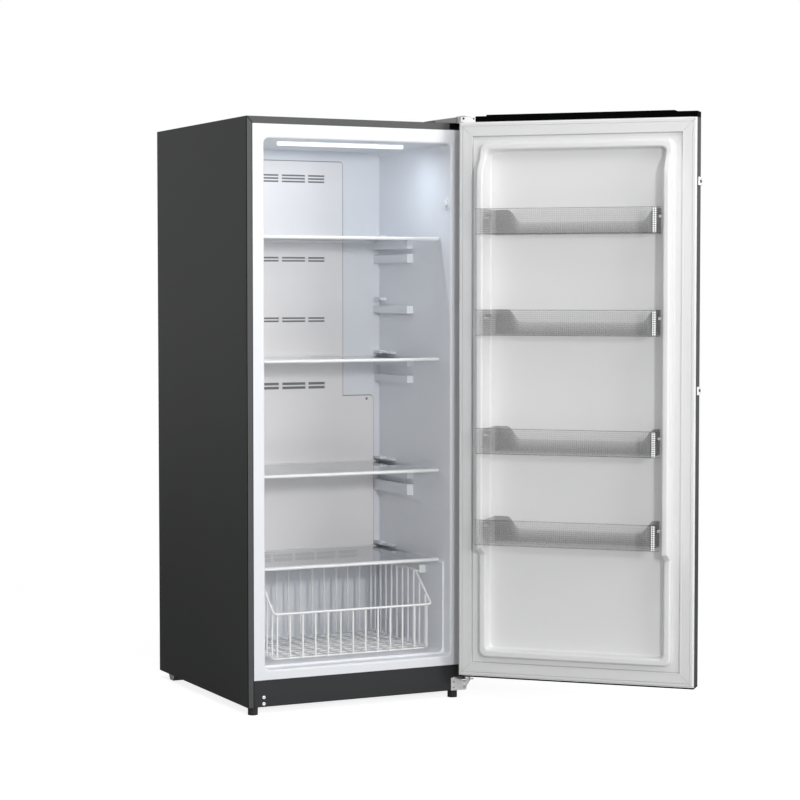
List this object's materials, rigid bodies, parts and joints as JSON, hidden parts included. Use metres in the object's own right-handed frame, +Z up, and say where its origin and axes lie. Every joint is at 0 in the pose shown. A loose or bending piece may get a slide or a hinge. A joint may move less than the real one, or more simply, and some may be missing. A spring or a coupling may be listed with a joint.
{
  "type": "upright freezer",
  "caption": "Upright freezer with one door, glass shelves, clear door bins and a sliding wire basket, door open.",
  "frame": {"origin": "on the floor under the middle of the cabinet, between its feet", "axes": "+Z up, -Y out of the cabinet's front, +X towards the hinge side"},
  "size_m": [1.2196, 1.309, 1.7425],
  "materials": {
    "graphite": "satin",
    "dark_plastic": "matte",
    "zinc": "plated",
    "galvanised": "galvanised",
    "white_liner": "semi-gloss",
    "foam": "rigid foam",
    "seal": "matte",
    "black_rubber": "matte",
    "shelf_glass": "polished",
    "white_trim": "semi-gloss",
    "clear_bin": "frosted",
    "white_wire": "coated",
    "lamp": "diffusing",
    "black_steel": "gloss",
    "grey_plastic": "matte",
    "steel_handle": "satin"
  },
  "bodies": {
    "cabinet": {"back_cover": "white_liner", "back_panel": "galvanised", "base_cross_plate": "galvanised", "base_pan": "galvanised", "base_rails": "galvanised", "basket_rails": "white_trim", "bottom_hinge": "zinc", "cabinet_foam": "foam", "cabinet_shell": "graphite", "compressor": "black_steel", "compressor_feet": "black_rubber", "compressor_tray": "galvanised", "condenser": "galvanised", "fan_motor": "black_steel", "inner_liner": "white_liner", "kick_panel": "dark_plastic", "led_lens": "lamp", "machine_cover": "galvanised", "top_hinge": "zinc", "top_hinge_cover": "grey_plastic"},
    "door": {"door_bottom_cap": "dark_plastic", "door_foam": "foam", "door_gasket": "seal", "door_hinge_block": "zinc", "door_liner": "white_liner", "door_skin": "graphite", "door_top_cap": "dark_plastic", "handle_bar": "steel_handle", "handle_brackets": "steel_handle"},
    "bin_1": {"door_bin_1": "clear_bin"},
    "bin_2": {"door_bin_2": "clear_bin"},
    "bin_3": {"door_bin_3": "clear_bin"},
    "bin_4": {"door_bin_4": "clear_bin"},
    "shelf_1": {"shelf_1_glass": "shelf_glass", "shelf_1_trim": "white_trim"},
    "shelf_2": {"shelf_2_glass": "shelf_glass", "shelf_2_trim": "white_trim"},
    "shelf_3": {"shelf_3_glass": "shelf_glass", "shelf_3_trim": "white_trim"},
    "shelf_4": {"shelf_4_glass": "shelf_glass", "shelf_4_trim": "white_trim"},
    "basket": {"basket_back": "white_wire", "basket_floor_cross": "white_wire", "basket_floor_long": "white_wire", "basket_front": "white_wire", "basket_left": "white_wire", "basket_right": "white_wire", "basket_rim": "white_wire"},
    "switch": {"switch_button": "white_trim"},
    "left_foot": {"foot_left": "black_rubber"},
    "right_foot": {"foot_right": "black_rubber"},
    "fan": {"condenser_fan": "dark_plastic"}
  },
  "joints": [
    {"name": "door_hinge", "type": "hinge", "parent": "cabinet", "child": "door", "pos_m": [0.3374, -0.4077, 0.9], "axis": [0, 0, -1], "range_deg": [0, 135.15]},
    {"name": "shelf_1_slide", "type": "slide", "parent": "cabinet", "child": "shelf_1", "axis": [0, 1, 0], "range_m": [-0.2, 0]},
    {"name": "shelf_2_slide", "type": "slide", "parent": "cabinet", "child": "shelf_2", "axis": [0, 1, 0], "range_m": [-0.2, 0]},
    {"name": "shelf_3_slide", "type": "slide", "parent": "cabinet", "child": "shelf_3", "axis": [0, 1, 0], "range_m": [-0.2, 0]},
    {"name": "shelf_4_slide", "type": "slide", "parent": "cabinet", "child": "shelf_4", "axis": [0, 1, 0], "range_m": [-0.2, 0]},
    {"name": "basket_slide", "type": "slide", "parent": "cabinet", "child": "basket", "axis": [0, 1, 0], "range_m": [-0.27, 0]},
    {"name": "bin_1_lift", "type": "slide", "parent": "door", "child": "bin_1", "axis": [0, 0, -1], "range_m": [-0.03, 0]},
    {"name": "bin_2_lift", "type": "slide", "parent": "door", "child": "bin_2", "axis": [0, 0, -1], "range_m": [-0.03, 0]},
    {"name": "bin_3_lift", "type": "slide", "parent": "door", "child": "bin_3", "axis": [0, 0, -1], "range_m": [-0.03, 0]},
    {"name": "bin_4_lift", "type": "slide", "parent": "door", "child": "bin_4", "axis": [0, 0, -1], "range_m": [-0.03, 0]},
    {"name": "switch_press", "type": "slide", "parent": "cabinet", "child": "switch", "axis": [1, 0, 0], "range_m": [0, 0.005], "stiffness_N_per_m": 300, "springref_m": -0.004},
    {"name": "left_foot_turn", "type": "hinge", "parent": "cabinet", "child": "left_foot", "pos_m": [-0.3325, -0.3475, 0.01], "axis": [0, 0, 1], "continuous": true},
    {"name": "right_foot_turn", "type": "hinge", "parent": "cabinet", "child": "right_foot", "pos_m": [0.3175, -0.3475, 0.01], "axis": [0, 0, 1], "continuous": true},
    {"name": "fan_turn", "type": "hinge", "parent": "cabinet", "child": "fan", "pos_m": [0.02, 0.2475, 0.139], "axis": [0, 1, 0], "continuous": true}
  ]
}
